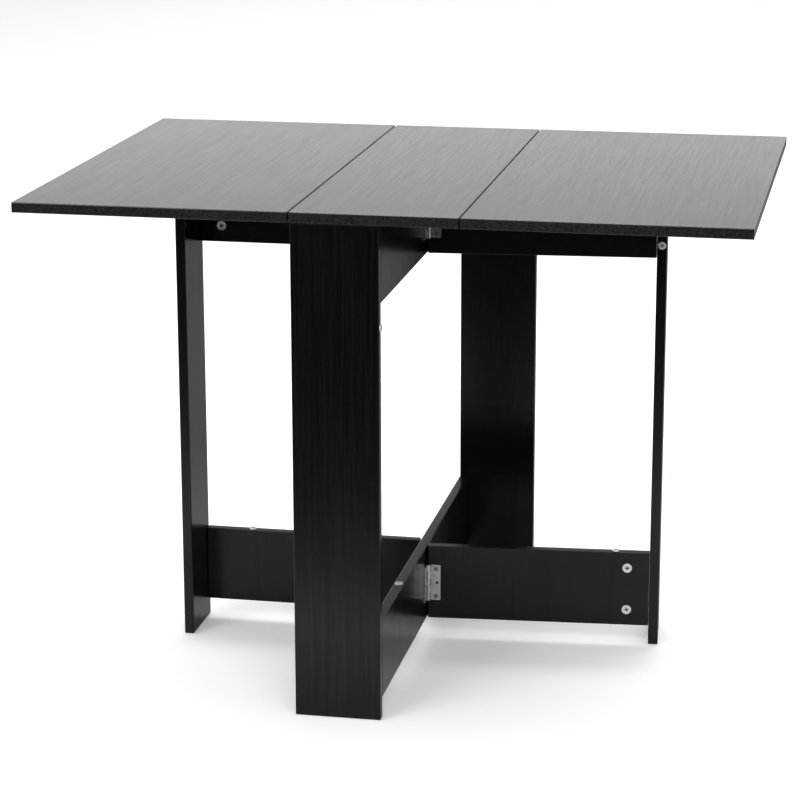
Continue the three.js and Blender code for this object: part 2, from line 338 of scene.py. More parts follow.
@dataclass(frozen=True)
class EdgeBand:
    """A thin band glued round a board's narrow edges, with a fine moulded texture; also used for the
    painted highlight on the arrises.
    """

    label: str
    dark: Colour
    light: Colour
    gloss: Pair
    ior: float
    grains_per_metre: float = 1600.0
    mottle_per_metre: float = 18.0
    grain_octaves: Pair = (3.0, 0.55)
    mottle_octaves: Pair = (2.0, 0.5)
    grain_range: Pair = (0.35, 0.65)
    grain_share: float = 0.6
    mottle_share: float = 0.4
    tone_range: Pair = (0.1, 0.9)
    relief_depth: float = 0.04 * MM
    relief_strength: float = 0.06

    def material(self) -> bpy.types.Material:
        """Make the band.

        Returns:
            The material.
        """
        sheet = NodeSheet(self.label)
        fine = sheet.noise(sheet.place(0.0, alike(self.grains_per_metre)), self.grain_octaves)
        slow = sheet.noise(sheet.place(0.0, alike(self.mottle_per_metre)), self.mottle_octaves)
        grains = sheet.spread(fine, self.grain_range, (0.0, self.grain_share))
        tone = sheet.sum(grains, slow, self.mottle_share)
        colour = sheet.tint(tone, list(zip(self.tone_range, (self.dark, self.light))))
        dullness = sheet.spread(tone, self.tone_range, self.gloss)
        sheet.relief(fine, self.relief_depth, self.relief_strength)
        return sheet.dress(Base_Color=colour, Roughness=dullness, IOR=self.ior)


@dataclass(frozen=True)
class Chipboard:
    """The pressed wood chips that a bore lays bare."""

    label: str = "chipboard_core"
    dark: Colour = (0.10, 0.055, 0.028, 1.0)
    light: Colour = (0.42, 0.28, 0.16, 1.0)
    dullness: Pair = (0.9, 0.7)
    chips_per_metre: tuple[float, float, float] = (620.0, 620.0, 1400.0)
    chip_octaves: Pair = (4.0, 0.7)
    chip_range: Pair = (0.3, 0.7)
    relief_depth: float = 0.3 * MM
    relief_strength: float = 0.6

    def material(self) -> bpy.types.Material:
        """Make the core.

        Returns:
            The material.
        """
        sheet = NodeSheet(self.label)
        chips = sheet.noise(sheet.place(0.0, Vector(self.chips_per_metre)), self.chip_octaves)
        colour = sheet.tint(chips, list(zip(self.chip_range, (self.dark, self.light))))
        sheet.relief(chips, self.relief_depth, self.relief_strength)
        dullness = sheet.spread(chips, self.chip_range, self.dullness)
        return sheet.dress(Base_Color=colour, Roughness=dullness)


@dataclass(frozen=True)
class Metal:
    """A plated or cast metal with its own tone, brushing and pits; also used for the painted shade inside
    recesses.
    """

    label: str
    dark: Colour
    light: Colour
    gloss: Pair
    cells_per_metre: Vector
    relief_depth: float
    relief_strength: float
    metallic: float = 1.0
    tarnish: float = 0.35
    blotches_per_metre: float = 90.0
    cell_octaves: Pair = (4.0, 0.6)
    blotch_octaves: Pair = (3.0, 0.55)
    cell_range: Pair = (0.35, 0.65)
    tint_range: Pair = (0.15, 0.8)
    gloss_range: Pair = (0.1, 0.9)

    def material(self) -> bpy.types.Material:
        """Make the metal.

        Returns:
            The material.
        """
        sheet = NodeSheet(self.label)
        fine = sheet.noise(sheet.place(0.0, self.cells_per_metre), self.cell_octaves)
        slow = sheet.noise(sheet.place(0.0, alike(self.blotches_per_metre)), self.blotch_octaves)
        bright = sheet.spread(fine, self.cell_range, (0.0, 1.0 - self.tarnish))
        tone = sheet.sum(bright, slow, self.tarnish)
        colour = sheet.tint(tone, list(zip(self.tint_range, (self.dark, self.light))))
        dullness = sheet.spread(tone, self.gloss_range, (self.gloss[1], self.gloss[0]))
        sheet.relief(fine, self.relief_depth, self.relief_strength)
        return sheet.dress(Base_Color=colour, Roughness=dullness, Metallic=self.metallic)


FRAME_FOIL = WoodGrainFoil(
    "frame_foil", (0.0001, 0.0001, 0.0001, 1.0), (0.0062, 0.0061, 0.0064, 1.0), (0.15, 0.27), 1.38,
    relief_strength=0.32, streaks_per_metre=(220.0, 5.0),
)
TOP_FOIL = WoodGrainFoil(
    "top_foil", (0.008, 0.008, 0.0085, 1.0), (0.028, 0.028, 0.029, 1.0), (0.191, 0.237), 1.5,
)
BLACK_BAND = EdgeBand(
    "black_edge_band", (0.0095, 0.0100, 0.0118, 1.0), (0.0135, 0.0142, 0.0165, 1.0), (0.36, 0.44), 1.42,
    relief_strength=0.02,
)
# Painted highlight: the light grey on the rounded arrises stands in for the bright line that light from
# above makes along the board edges.
ARRIS_PAINTED_HIGHLIGHT = EdgeBand(
    "worn_arris", (0.10, 0.101, 0.105, 1.0), (0.42, 0.422, 0.43, 1.0), (0.28, 0.42), 1.5,
)
CHIPBOARD = Chipboard()
BRUSHED_NICKEL = Metal(
    "brushed_nickel", (0.42, 0.40, 0.37, 1.0), (0.82, 0.775, 0.71, 1.0), (0.17, 0.30),
    Vector((260.0, 260.0, 2600.0)), 0.02 * MM, 0.12,
)
SCREW_STEEL = Metal(
    "screw_steel", (0.14, 0.135, 0.13, 1.0), (0.40, 0.385, 0.365, 1.0), (0.26, 0.42),
    alike(1200.0), 0.03 * MM, 0.15,
)
CAST_ZINC = Metal(
    "cast_zinc", (0.60, 0.60, 0.605, 1.0), (0.93, 0.93, 0.935, 1.0), (0.42, 0.60),
    alike(1500.0), 0.08 * MM, 0.35, metallic=0.30,
)
# Painted shade: the near-black colour stands in for the shadow inside the screwdriver recesses.
RECESS_PAINTED_SHADE = Metal(
    "recess_painted_shade", (0.012, 0.012, 0.013, 1.0), (0.055, 0.053, 0.050, 1.0), (0.50, 0.70),
    alike(1500.0), 0.08 * MM, 0.35, metallic=0.30,
)


# ------------------------------------------------------------------ modelling


class Bench:
    """The operators that the makers below model with."""

    @staticmethod
    def take(*pieces: bpy.types.Object) -> None:
        """Select these pieces and nothing else, and make the first one active.

        Args:
            pieces: The pieces.
        """
        bpy.ops.object.select_all(action="DESELECT")
        for piece in pieces:
            piece.select_set(True)
        bpy.context.view_layer.objects.active = pieces[0]

    @staticmethod
    @contextmanager
    def editing(piece: bpy.types.Object) -> Iterator[None]:
        """Open a piece in edit mode with nothing selected.

        Args:
            piece: The piece.
        """
        Bench.take(piece)
        bpy.ops.object.mode_set(mode="EDIT")
        bpy.ops.mesh.select_all(action="DESELECT")
        yield
        bpy.ops.object.mode_set(mode="OBJECT")

    @staticmethod
    def pick_faces(piece: bpy.types.Object, test: FaceTest) -> None:
        """Select the faces of the open piece that pass a test, and nothing else.

        Args:
            piece: The piece that is open in edit mode.
            test: Says of a face's centre and normal whether it is wanted.
        """
        bpy.ops.mesh.select_mode(type="FACE")
        bpy.ops.mesh.select_all(action="DESELECT")
        mesh = bmesh.from_edit_mesh(piece.data)
        for face in mesh.faces:
            if test(face.calc_center_median(), face.normal):
                face.select_set(True)
        bmesh.update_edit_mesh(piece.data)

    @staticmethod
    def pick_edges(piece: bpy.types.Object, test: FaceTest) -> None:
        """Select the edges of the open piece that pass a test, and nothing else.

        Args:
            piece: The piece that is open in edit mode.
            test: Says of an edge's middle and direction whether it is wanted.
        """
        bpy.ops.mesh.select_mode(type="EDGE")
        bpy.ops.mesh.select_all(action="DESELECT")
        mesh = bmesh.from_edit_mesh(piece.data)
        for edge in mesh.edges:
            first, second = edge.verts[0].co, edge.verts[1].co
            if test((first + second) / 2, (second - first).normalized()):
                edge.select_set(True)
        bmesh.update_edit_mesh(piece.data)

    @staticmethod
    def block(low: Vector, high: Vector) -> bpy.types.Object:
        """Start a piece as a block.

        Args:
            low: Its lowest corner.
            high: Its highest corner.

        Returns:
            The block.
        """
        bpy.ops.object.select_all(action="DESELECT")
        bpy.ops.mesh.primitive_cube_add(size=1.0, location=(low + high) / 2)
        made = bpy.context.object
        made.scale = high - low
        Bench.settle()
        return made

    @staticmethod
    def settle() -> None:
        """Put the place, turn and scale of what is selected into its mesh."""
        bpy.ops.object.transform_apply(location=True, rotation=True, scale=True)

    @staticmethod
    def extrude(way: Vector) -> None:
        """Draw the selected faces of the open piece out along a way."""
        bpy.ops.mesh.extrude_region_move(TRANSFORM_OT_translate={"value": tuple(way)})

    @staticmethod
    def scale(shares: tuple[float, float, float], about: Vector) -> None:
        """Scale what is selected in the open piece, with one point held."""
        bpy.ops.transform.resize(value=shares, center_override=about)

    @staticmethod
    def clad(piece: bpy.types.Object, *finishes: Metal) -> None:
        """Give a piece its metals, in the order of its material slots."""
        for finish in finishes:
            piece.data.materials.append(finish.material())

    @staticmethod
    def rod(start: Vector, along: Vector, radius: float, length: float, sides: int) -> bpy.types.Object:
        """Start a piece as a round rod.

        Args:
            start: The middle of the end that it starts from.
            along: The way that it runs.
            radius: Its radius.
            length: Its length.
            sides: How many sides stand for the round.

        Returns:
            The rod.
        """
        bpy.ops.object.select_all(action="DESELECT")
        bpy.ops.mesh.primitive_cylinder_add(
            vertices=sides, radius=radius, depth=length, location=start + along * (length / 2),
            rotation=UP.rotation_difference(along).to_euler(),
        )
        Bench.settle()
        return bpy.context.object

    @staticmethod
    def cut(piece: bpy.types.Object, cutter: bpy.types.Object) -> None:
        """Cut one piece with another, which is used up.

        Args:
            piece: The piece that keeps the cut.
            cutter: The shape that is taken away.
        """
        Bench.take(piece)
        modifier = piece.modifiers.new("cut", "BOOLEAN")
        modifier.operation = "DIFFERENCE"
        modifier.solver = "EXACT"
        modifier.object = cutter
        bpy.ops.object.modifier_apply(modifier=modifier.name)
        bpy.data.objects.remove(cutter, do_unlink=True)

    @staticmethod
    def join(pieces: list[bpy.types.Object]) -> bpy.types.Object:
        """Put several shapes that stand apart into one object.

        Args:
            pieces: The shapes.

        Returns:
            The one object.
        """
        Bench.take(*pieces)
        if len(pieces) > 1:
            bpy.ops.object.join()
        return bpy.context.view_layer.objects.active

    @staticmethod
    def round_edges(piece: bpy.types.Object, width: float, segments: int = 2, slot: int = -1) -> None:
        """Round the sharp edges of a piece.

        Args:
            piece: The piece.
            width: How far each rounding reaches.
            segments: How many steps it has.
            slot: The material of the rounding, or -1 for that of the faces beside it.
        """
        Bench.take(piece)
        modifier = piece.modifiers.new("rounding", "BEVEL")
        modifier.width = width
        modifier.segments = segments
        modifier.limit_method = "ANGLE"
        modifier.angle_limit = ROUNDED_ABOVE
        modifier.material = slot
        bpy.ops.object.modifier_apply(modifier=modifier.name)

    @staticmethod
    def even_shading(piece: bpy.types.Object) -> None:
        """Shade the roundings smooth and keep the flats flat.

        Args:
            piece: The piece.
        """
        Bench.take(piece)
        bpy.ops.object.shade_smooth_by_angle(angle=SMOOTH_BELOW)
        modifier = piece.modifiers.new("flats", "WEIGHTED_NORMAL")
        modifier.keep_sharp = True
        modifier.weight = FLAT_WEIGHT
        bpy.ops.object.modifier_apply(modifier=modifier.name)

    @staticmethod
    def copy_to(pattern: bpy.types.Object, place: Matrix) -> bpy.types.Object:
        """Copy a piece with a mesh of its own, and put it in its place.

        Args:
            pattern: The piece that is copied.
            place: Where the copy stands.

        Returns:
            The copy, with its place in its mesh.
        """
        made = pattern.copy()
        made.data = pattern.data.copy()
        bpy.context.collection.objects.link(made)
        made.matrix_world = place
        Bench.take(made)
        Bench.settle()
        return made

    @staticmethod
    def discard(*pieces: bpy.types.Object) -> None:
        """Take patterns away once their copies are made."""
        for piece in pieces:
            bpy.data.objects.remove(piece, do_unlink=True)

    @staticmethod
    def hand_over(piece: bpy.types.Object, node: str, slot: str) -> None:
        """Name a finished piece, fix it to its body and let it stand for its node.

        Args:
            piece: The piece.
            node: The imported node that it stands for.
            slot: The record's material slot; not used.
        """
        piece.name = f"{node}_finished"
        piece.data.name = piece.name
        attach(piece, BODY_OF[node])
        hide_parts(node)
        log.info("%s: %d faces on %s", piece.name, len(piece.data.polygons), BODY_OF[node])


def looks(way: Vector) -> FaceTest:
    """Tell faces that look a way from the others."""
    return lambda centre, normal: normal.dot(way) > FACING


def upright_turn(angle: float, at: Vector) -> Matrix:
    """Give the place of something that is turned about the upright axis."""
    return Matrix.Translation(at) @ Matrix.Rotation(angle, 4, "Z")


def facing(point: Vector, outward: Vector, spin: float = 0.0) -> Matrix:
    """Give the place of a fastener whose head looks along its own Z axis."""
    look = UP.rotation_difference(outward).to_matrix().to_4x4()
    return Matrix.Translation(point) @ look @ Matrix.Rotation(spin, 4, "Z")


def box_in(node: str, place: Matrix) -> tuple[Vector, Vector]:
    """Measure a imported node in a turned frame.

    Args:
        node: The node.
        place: The frame's place.

    Returns:
        The node's lowest and highest corners in that frame.
    """
    back = place.inverted()
    points = [back @ vertex.co for vertex in frame["nodes"][node].data.vertices]
    low = Vector([min(point[axis] for point in points) for axis in range(3)])
    high = Vector([max(point[axis] for point in points) for axis in range(3)])
    return low, high


# ------------------------------------------------------------------ fasteners


@dataclass
class CrossRecess:
    """A cross-shaped recess for a screwdriver, tapered towards its floor."""

    span: float
    width: float
    depth: float
    floor_share: float = 0.55
    slack: float = 0.01 * MM
    # The material slot that holds the painted shade of the recess.
    slot: int = 1

    def press(self, piece: bpy.types.Object, height: float) -> None:
        """Press the cross into the end of a piece that looks along Z.

        Args:
            piece: The piece.
            height: Where the face that takes the recess lies.
        """
        for long_side, short_side in ((self.span, self.width), (self.width, self.span)):
            low = Vector((-long_side / 2, -short_side / 2, height - self.depth))
            high = Vector((long_side / 2, short_side / 2, height + self.depth))
            bar = Bench.block(low, high)
            with Bench.editing(bar):
                Bench.pick_faces(bar, looks(-UP))
                Bench.scale((self.floor_share, self.floor_share, 1.0), UP * height)
            Bench.cut(piece, bar)
        # The walls and floor of the cross take the material in slot, which holds the painted shade of the
        # recess.
        for polygon in piece.data.polygons:
            if self._holds(polygon.center, height):
                polygon.material_index = self.slot

    def _holds(self, point: Vector, height: float) -> bool:
        """Tell whether a point lies on the walls or the floor of the cross.

        Args:
            point: The point.
            height: Where the face that takes the recess lies.

        Returns:
            True where it does.
        """
        reach, half = self.span / 2 + self.slack, self.width / 2 + self.slack
        sunk = height - self.depth - self.slack < point.z < height - self.slack
        x, y = abs(point.x), abs(point.y)
        return sunk and ((x < reach and y < half) or (x < half and y < reach))


@dataclass
class CamLock:
    """The round cast housing that draws two boards together."""

    radius: float = 7.2 * MM
    depth: float = 12.0 * MM
    rim: float = 1.1 * MM
    dish: float = 0.45 * MM
    ring: float = 2.2 * MM
    boss_share: float = 0.6
    rounding: float = 0.25 * MM
    sides: int = 40
    recess: CrossRecess = field(default_factory=lambda: CrossRecess(8.6 * MM, 2.3 * MM, 2.6 * MM))

    def model(self) -> bpy.types.Object:
        """Model the lock with its face on the origin, looking along Z.

        Returns:
            The lock.
        """
        lock = Bench.rod(-UP * self.depth, UP, self.radius, self.depth, self.sides)
        with Bench.editing(lock):
            Bench.pick_faces(lock, looks(UP))
            bpy.ops.mesh.inset(thickness=self.rim)
            bpy.ops.mesh.inset(thickness=self.dish, depth=-self.dish)
            bpy.ops.mesh.inset(thickness=self.ring, depth=0.0)
            bpy.ops.mesh.inset(thickness=self.dish, depth=self.dish * self.boss_share)
        Bench.round_edges(lock, self.rounding)
        Bench.clad(lock, CAST_ZINC, RECESS_PAINTED_SHADE)
        self.recess.press(lock, -self.dish)
        Bench.even_shading(lock)
        return lock


@dataclass
class EdgeScrew:
    """A pan-head screw driven into a board's narrow edge."""

    head_radius: float = 6.0 * MM
    head_height: float = 2.2 * MM
    head_lift: float = 0.3 * MM
    shank_radius: float = 2.0 * MM
    shank_length: float = 24.0 * MM
    crown: float = 1.5 * MM
    crown_steps: int = 5
    crown_profile: float = 0.55
    taper: float = 3.0 * MM
    point_share: float = 0.15
    sides: int = 40
    recess: CrossRecess = field(default_factory=lambda: CrossRecess(7.2 * MM, 1.9 * MM, 1.6 * MM))

    @property
    def reach(self) -> float:
        """How far the head stands over the edge."""
        return self.head_lift + self.head_height

    def model(self) -> bpy.types.Object:
        """Model the screw with the board's edge on the origin and its head looking along Z.

        Returns:
            The screw.
        """
        screw = Bench.rod(UP * self.head_lift, UP, self.head_radius, self.head_height, self.sides)
        with Bench.editing(screw):
            Bench.pick_faces(screw, looks(UP))
            bpy.ops.mesh.bevel(offset=self.crown, segments=self.crown_steps, profile=self.crown_profile,
                               affect="EDGES")
            Bench.pick_faces(screw, looks(-UP))
            bpy.ops.mesh.inset(thickness=self.head_radius - self.shank_radius)
            down = self.shank_length + self.head_lift
            Bench.extrude(UP * (self.taper - down))
            Bench.extrude(-UP * self.taper)
            Bench.scale((self.point_share, self.point_share, 1.0), -UP * down)
        Bench.clad(screw, CAST_ZINC, RECESS_PAINTED_SHADE)
        self.recess.press(screw, self.reach)
        Bench.even_shading(screw)
        return screw


@dataclass
class Bore:
    """A round hole in a board, given where it enters and which way it goes."""

    point: Vector
    inward: Vector
    radius: float
    depth: float
    lead: float = 2.0 * MM
    sides: int = 40

    def cutter(self) -> bpy.types.Object:
        """Make the drill's shape."""
        start = self.point - self.inward * self.lead
        return Bench.rod(start, self.inward, self.radius, self.depth + self.lead, self.sides)


@dataclass
class Fastener:
    """A fastener's node, and where and how it stands on its board."""

    node: str
    point: Vector
    outward: Vector
    spin: float


# ------------------------------------------------------------------ boards


@dataclass
class BoardMaker:
    """Makes boards with rounded arrises, banded edges and drilled bores."""

    arris: float = 1.4 * MM
    arris_segments: int = 4
    _materials: dict[tuple[str, Grain, int], bpy.types.Material] = field(default_factory=dict)
    _band: bpy.types.Material | None = None
    _arris_highlight: bpy.types.Material | None = None
    _core: bpy.types.Material | None = None

    def dress(self, board: bpy.types.Object, foil: WoodGrainFoil, grain: Grain, turn: float) -> None:
        """Give a board its four materials, in the order of BoardSlot.

        Args:
            board: The board.
            foil: What covers its broad faces.
            grain: The way that the grain runs.
            turn: How far the board is turned about the upright axis, in radians.
        """
        if self._band is None:
            self._band = BLACK_BAND.material()
            self._arris_highlight = ARRIS_PAINTED_HIGHLIGHT.material()
            self._core = CHIPBOARD.material()
        key = (foil.label, grain, tenths(turn))
        if key not in self._materials:
            self._materials[key] = foil.material(grain, turn)
        board.data.materials.clear()
        for material in (self._materials[key], self._band, self._arris_highlight, self._core):
            board.data.materials.append(material)

    def model(self, low: Vector, high: Vector, foil: WoodGrainFoil, grain: Grain,
              bores: list[Bore]) -> bpy.types.Object:
        """Model a board in its own square frame.

        Args:
            low: Its lowest corner.
            high: Its highest corner.
            foil: What covers its broad faces.
            grain: The way that the grain runs.
            bores: The holes that are drilled in it.

        Returns:
            The board.
        """
        board = Bench.block(low, high)
        self.dress(board, foil, grain, 0.0)
        size = high - low
        through = min(range(3), key=lambda axis: size[axis])
        for polygon in board.data.polygons:
            broad = abs(polygon.normal[through]) > FACING
            polygon.material_index = (BoardSlot.FACE if broad else BoardSlot.BAND).value
        # The arrises take the painted highlight material in the ARRIS slot.
        Bench.round_edges(board, self.arris, self.arris_segments, BoardSlot.ARRIS.value)
        if bores:
            drills = Bench.join([bore.cutter() for bore in bores])
            self.dress(drills, foil, grain, 0.0)
            for polygon in drills.data.polygons:
                polygon.material_index = BoardSlot.CORE.value
            Bench.cut(board, drills)
        Bench.even_shading(board)
        return board


# ------------------------------------------------------------------ hinges


@dataclass
class KnuckleHinge:
    """A hinge of two screwed plates whose knuckles are rolled round one pin.

    Its own frame has the pin on Z. A plate reaches out along X and lies with its face towards Y.
    """

    length: float = 57.0 * MM
    width: float = 18.5 * MM
    thickness: float = 1.2 * MM
    knuckle_radius: float = 3.0 * MM
    knuckle_gap: float = 0.5 * MM
    knuckles: int = 5
    corner: float = 1.6 * MM
    corner_steps: int = 5
    roll: float = math.radians(302)
    roll_steps: int = 26
    weld_reach: float = 0.002 * MM
    # The end of the plate that rolls up lies within this of the pin's middle.
    end_slack: float = 0.01 * MM
    hole_radius: float = 2.2 * MM
    screw_inset: float = 7.0 * MM
    screw_spacing: float = 22.0 * MM
    stagger: float = 1.8 * MM
    pin_radius: float = 1.4 * MM
    pin_sides: int = 28
    pin_neck: float = 0.15 * MM
    head_step: float = 0.05 * MM
    head_height: float = 0.5 * MM
    head_flare: float = 1.6
    head_crown: float = 0.55
    head_rounding: float = 0.12 * MM
    screw_head: float = 3.5 * MM
    screw_shank: float = 1.5 * MM
    screw_length: float = 12.0 * MM
    screw_taper: float = 2.5 * MM
    screw_point: float = 0.15
    screw_sides: int = 32
    crown_rim: float = 0.35 * MM
    crown_rise: float = 0.12 * MM
    sink_depth: float = 1.05 * MM
    sink_clear: float = 0.15 * MM
    sink_lip: float = 0.35 * MM
    sink_sides: int = 36
    seat: float = 0.3 * MM
    recess: CrossRecess = field(default_factory=lambda: CrossRecess(3.6 * MM, 0.8 * MM, 0.9 * MM))

    def _knuckle_span(self, index: int) -> tuple[float, float]:
        """Give the stretch of the pin that a knuckle holds.

        Args:
            index: The knuckle, counted from the lower end.

        Returns:
            Where it starts and where it ends.
        """
        pitch = (self.length + self.knuckle_gap) / self.knuckles
        start = -self.length / 2 + index * pitch
        return start, start + pitch - self.knuckle_gap

    @property
    def show(self) -> float:
        """How far the side of a plate that shows lies from the pin's middle."""
        return self.knuckle_radius - self.thickness

    def _spot(self, step: int, drift: float = 0.0) -> Vector:
        """Give the place of a hole on the side of the plate that shows."""
        return Vector((self.width - self.screw_inset + drift, self.show, step * self.screw_spacing))

    def screw_places(self) -> list[Vector]:
        """Give the places of the two screws on the side of the plate that shows."""
        return [self._spot(step) for step in (-1, 1)]

    def leaf(self, kind: Leaf) -> bpy.types.Object:
        """Model one leaf: the drilled plate and the knuckles that it rolls.

        Args:
            kind: Which of the two leaves it is.

        Returns:
            The leaf.
        """
        half = self.length / 2
        corner = Vector((self.width, self.knuckle_radius, half))
        plate = Bench.block(Vector((0.0, self.show, -half)), corner)
        with Bench.editing(plate):
            Bench.pick_edges(plate, lambda middle, way: abs(way.y) > FACING and middle.x > self.width / 2)
            bpy.ops.mesh.bevel(offset=self.corner, segments=self.corner_steps, affect="EDGES")
        self._drill(plate)
        for index in range(self.knuckles):
            start, end = self._knuckle_span(index)
            if index in kind.value:
                continue
            reach = self.knuckle_radius + self.knuckle_gap
            low = Vector((-MM, 0.0, start - self.knuckle_gap))
            high = Vector((reach, 2 * self.knuckle_radius, end + self.knuckle_gap))
            Bench.cut(plate, Bench.block(low, high))
        with Bench.editing(plate):
            Bench.pick_faces(
                plate, lambda centre, normal: centre.x < self.end_slack and normal.x < -FACING,
            )
            bpy.ops.mesh.spin(steps=self.roll_steps, angle=-self.roll, center=(0.0, 0.0, 0.0), axis=UP)
            bpy.ops.mesh.select_all(action="SELECT")
            bpy.ops.mesh.remove_doubles(threshold=self.weld_reach)
            bpy.ops.mesh.normals_make_consistent(inside=False)
        Bench.clad(plate, BRUSHED_NICKEL)
        Bench.even_shading(plate)
        return plate

    def _drill(self, plate: bpy.types.Object) -> None:
        """Drill the plate's three holes and sink the two that take a screw.

        Args:
            plate: The plate, before it has knuckles.
        """
        inward = Vector((0.0, 1.0, 0.0))
        for step, drift in ((-1, 0.0), (0, self.stagger), (1, 0.0)):
            hole = Bore(self._spot(step, drift), inward, self.hole_radius, 3 * self.thickness)
            Bench.cut(plate, hole.cutter())
        for place in self.screw_places():
            mouth = self.screw_head + self.sink_clear
            sink = Bench.rod(place, inward, mouth, self.sink_depth, self.sink_sides)
            with Bench.editing(sink):
                Bench.pick_faces(sink, looks(inward))
                share = (self.hole_radius - self.sink_lip) / self.screw_head
                Bench.scale((share, 1.0, share), place)
                Bench.pick_faces(sink, looks(-inward))
                Bench.extrude(-inward * MM)
            Bench.cut(plate, sink)

    def screw(self) -> bpy.types.Object:
        """Model one countersunk screw with its head on the origin, looking along Z.

        Returns:
            The screw.
        """
        screw = Bench.rod(-UP * self.thickness, UP, self.screw_head, self.thickness, self.screw_sides)
        with Bench.editing(screw):
            Bench.pick_faces(screw, looks(-UP))
            share = self.screw_shank / self.screw_head
            Bench.scale((share, share, 1.0), Vector())
            Bench.extrude(UP * (self.screw_taper - self.screw_length))
            Bench.extrude(UP * (self.thickness - self.screw_taper))
            Bench.scale((self.screw_point, self.screw_point, 1.0), -UP * self.screw_length)
            Bench.pick_faces(screw, looks(UP))
            bpy.ops.mesh.inset(thickness=self.crown_rim, depth=self.crown_rise)
        Bench.clad(screw, SCREW_STEEL, RECESS_PAINTED_SHADE)
        self.recess.press(screw, self.crown_rise)
        Bench.even_shading(screw)
        return screw

    def pin(self) -> bpy.types.Object:
        """Model the pin with a peened head at each end.

        Returns:
            The pin.
        """
        pin = Bench.rod(-UP * (self.length / 2), UP, self.pin_radius, self.length, self.pin_sides)
        with Bench.editing(pin):
            for way in (-UP, UP):
                Bench.pick_faces(
                    pin, lambda centre, normal, way=way: looks(way)(centre, normal) and centre.dot(way) > 0,
                )
                Bench.extrude(way * self.pin_neck)
                Bench.extrude(way * self.head_step)
                Bench.scale((self.head_flare, self.head_flare, 1.0), Vector())
                Bench.extrude(way * self.head_height)
                Bench.scale((self.head_crown, self.head_crown, 1.0), Vector())
        Bench.clad(pin, BRUSHED_NICKEL)
        Bench.round_edges(pin, self.head_rounding)
        Bench.even_shading(pin)
        return pin


@dataclass
class HingePlace:
    """Where one leaf of a hinge lies: the pin's middle, the plate's reach and its face's way."""

    pin: Vector
    reach: Vector
    face: Vector

    def matrix(self) -> Matrix:
        """Give the place of the hinge's own frame.

        Returns:
            The place.
        """
        along = self.reach.cross(self.face)
        turn = Matrix((self.reach, self.face, along)).transposed().to_4x4()
        return Matrix.Translation(self.pin) @ turn


@dataclass
class HingeSet:
    """The table's hinge parts, modelled once, and the copies made of them."""

    hinge: KnuckleHinge = field(default_factory=KnuckleHinge)
    pilot_clear: float = 0.2 * MM
    first_spin: float = 0.5
    spin_step: float = 0.9

    def __post_init__(self) -> None:
        """Model each part once."""
        self.leaves = {kind: self.hinge.leaf(kind) for kind in Leaf}
        self.screw = self.hinge.screw()
        self.pin = self.hinge.pin()

    def pilot_bores(self, place: HingePlace) -> list[Bore]:
        """Give the holes that a leaf's screws need in their board.

        Args:
            place: Where the leaf lies.

        Returns:
            The holes.
        """
        matrix = place.matrix()
        surface = place.face * (self.hinge.thickness + self.hinge.seat)
        radius = self.hinge.screw_shank + self.pilot_clear
        depth = self.hinge.screw_length + MM - self.hinge.thickness
        return [
            Bore(matrix @ spot + surface, place.face, radius, depth)
            for spot in self.hinge.screw_places()
        ]

    def fit_leaf(self, node: str, kind: Leaf, place: HingePlace) -> None:
        """Fit one leaf and its two screws.

        Args:
            node: The leaf's node.
            kind: Which leaf it is.
            place: Where it lies.
        """
        matrix = place.matrix()
        Bench.hand_over(Bench.copy_to(self.leaves[kind], matrix), node, "hinge_steel")
        for number, spot in enumerate(self.hinge.screw_places(), start=1):
            spin = self.first_spin + self.spin_step * number
            screw = Bench.copy_to(self.screw, facing(matrix @ spot, -place.face, spin))
            screw.name = f"{node}_screw_{number}"
            screw.data.name = screw.name
            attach(screw, BODY_OF[node])

    def fit_pin(self, node: str, place: HingePlace) -> None:
        """Fit one pin."""
        Bench.hand_over(Bench.copy_to(self.pin, place.matrix()), node, "hinge_steel")

    def clear_away(self) -> None:
        """Discard the parts that were only copied."""
        Bench.discard(*self.leaves.values(), self.screw, self.pin)


# ------------------------------------------------------------------ sub-assemblies


